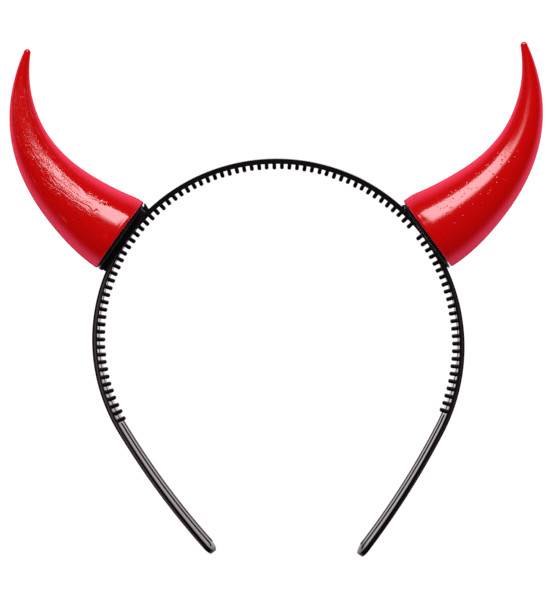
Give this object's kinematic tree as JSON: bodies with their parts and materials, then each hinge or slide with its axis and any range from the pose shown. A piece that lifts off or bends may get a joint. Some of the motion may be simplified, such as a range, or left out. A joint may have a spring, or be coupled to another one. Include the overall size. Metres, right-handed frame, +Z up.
{
  "type": "devil horns headband",
  "caption": "Open springy hair band with comb teeth on its inner side, and curved hollow horns that stand on clip-on bases at its shoulders.",
  "frame": {"origin": "middle of the underside as the headband lies on its back, at the height of the surface it lies on", "axes": "+Z up from that surface, +Y towards the crown of the band, +X towards the right horn as seen from the front"},
  "size_m": [0.1834, 0.184, 0.0289],
  "materials": {
    "black_plastic": "glossy moulded black",
    "red_plastic": "glossy moulded red"
  },
  "bodies": {
    "root": {"headband": "black_plastic", "left_horn": "red_plastic", "left_horn_base": "black_plastic", "right_horn": "red_plastic", "right_horn_base": "black_plastic"}
  },
  "joints": []
}
